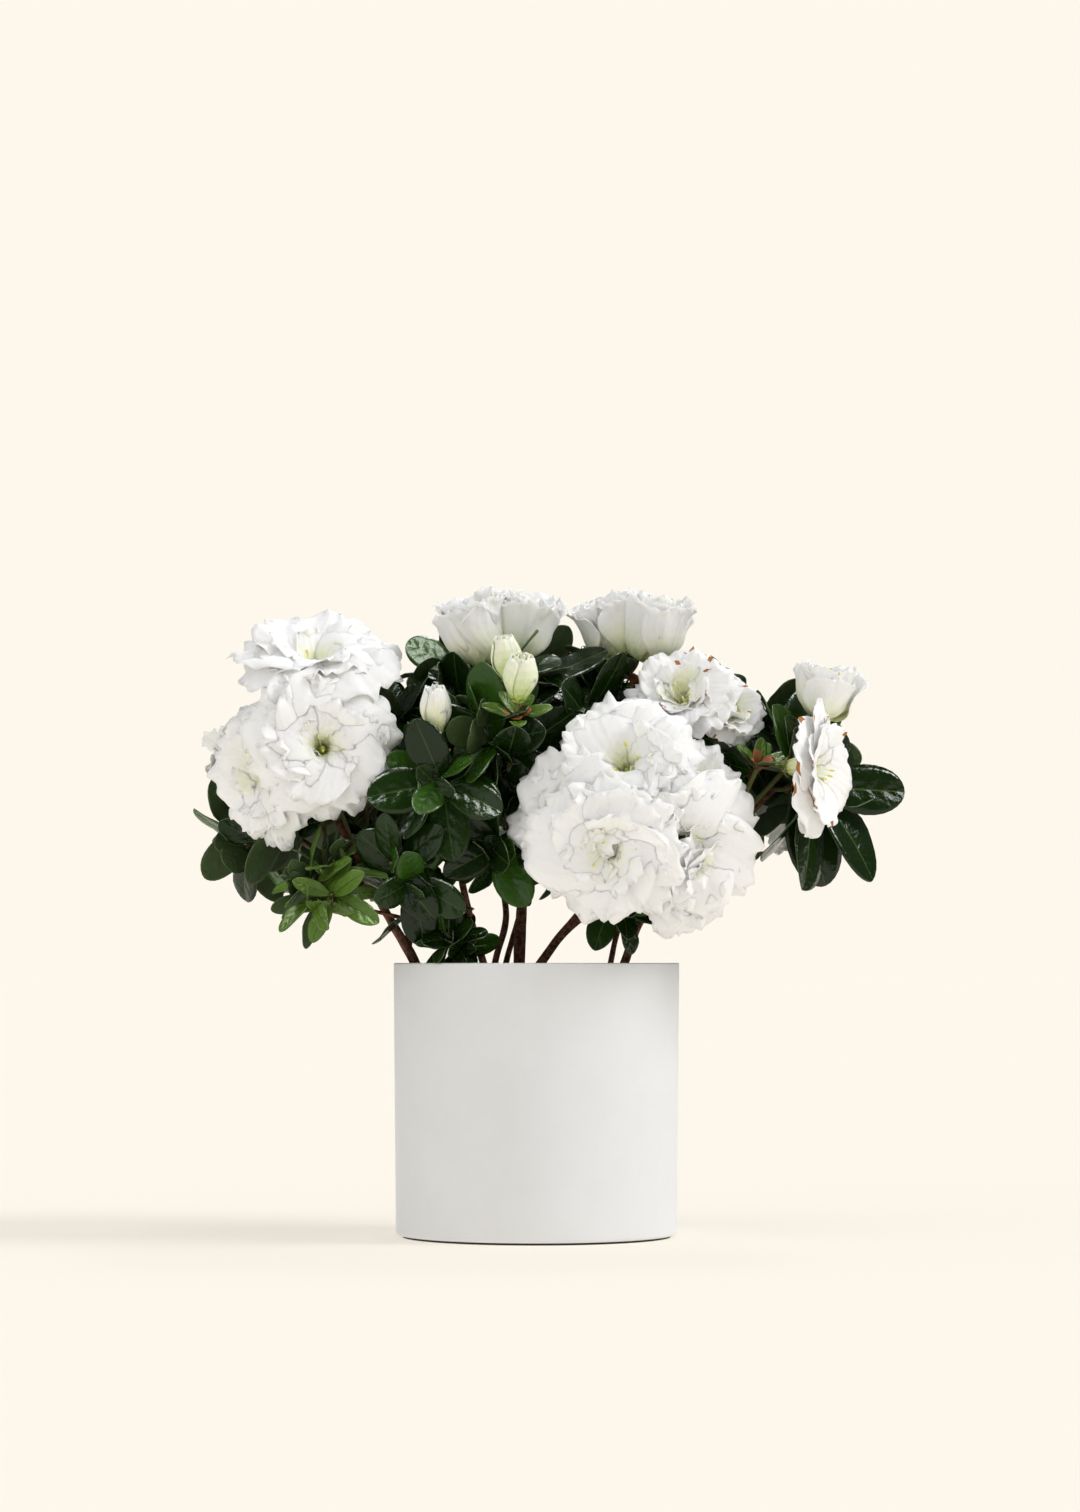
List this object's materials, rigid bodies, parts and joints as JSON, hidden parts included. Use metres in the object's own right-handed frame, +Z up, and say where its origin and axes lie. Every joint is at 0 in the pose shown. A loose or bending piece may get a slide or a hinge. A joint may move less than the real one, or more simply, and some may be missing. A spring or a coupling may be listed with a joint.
{
  "type": "potted azalea shrub",
  "caption": "Small double-flowered azalea shrub with white blooms and dark evergreen leaves, growing in a plain straight-sided white ceramic pot.",
  "frame": {"origin": "centre of the flat underside of the pot", "axes": "+Z up out of the pot, +X to the right along the plant's widest spread, -Y to the front, which the largest truss of blooms faces"},
  "size_m": [0.3237, 0.2295, 0.2981],
  "materials": {
    "ceramic": "smooth matt white",
    "soil": "loose moist peat mix",
    "bark": "rough reddish-brown bark",
    "leaf": "glossy dark evergreen leaf, paler beneath",
    "young_leaf": "soft bright green new leaf",
    "petal": "thin white frilled petal with a yellow-green throat"
  },
  "bodies": {
    "root": {"bloom_far_right": "petal", "bloom_left_outer": "petal", "bloom_right_outer": "petal", "blooms_back": "petal", "blooms_back_left": "petal", "blooms_back_right": "petal", "blooms_front": "petal", "blooms_left": "petal", "blooms_right_inner": "petal", "blooms_top_left": "petal", "blooms_top_right": "petal", "bough_back_left": "bark", "bough_back_right": "bark", "bough_centre": "bark", "bough_front": "bark", "bough_left_inner": "bark", "bough_left_outer": "bark", "bough_low_centre": "bark", "bough_low_left": "bark", "bough_low_right": "bark", "bough_right_inner": "bark", "bough_right_outer": "bark", "bough_top_left": "bark", "bough_top_right": "bark", "bud_centre_left": "petal", "buds_front": "petal", "leaves_back": "leaf", "leaves_back_left": "leaf", "leaves_back_right": "leaf", "leaves_centre": "leaf", "leaves_centre_left": "leaf", "leaves_far_back_left": "leaf", "leaves_far_right": "leaf", "leaves_front": "leaf", "leaves_left": "leaf", "leaves_left_inner": "leaf", "leaves_left_outer": "leaf", "leaves_low_back": "leaf", "leaves_low_centre": "leaf", "leaves_low_left": "leaf", "leaves_low_right": "leaf", "leaves_right": "leaf", "leaves_right_inner": "leaf", "leaves_right_outer": "leaf", "leaves_top": "leaf", "leaves_top_left": "leaf", "leaves_top_right": "leaf", "pot": "ceramic", "soil": "soil", "stem_back": "bark", "stem_back_left": "bark", "stem_back_right": "bark", "stem_centre_left": "bark", "stem_far_left": "bark", "stem_far_right": "bark", "stem_left": "bark", "stem_main": "bark", "stem_right": "bark", "young_leaves_left": "young_leaf"}
  },
  "joints": []
}
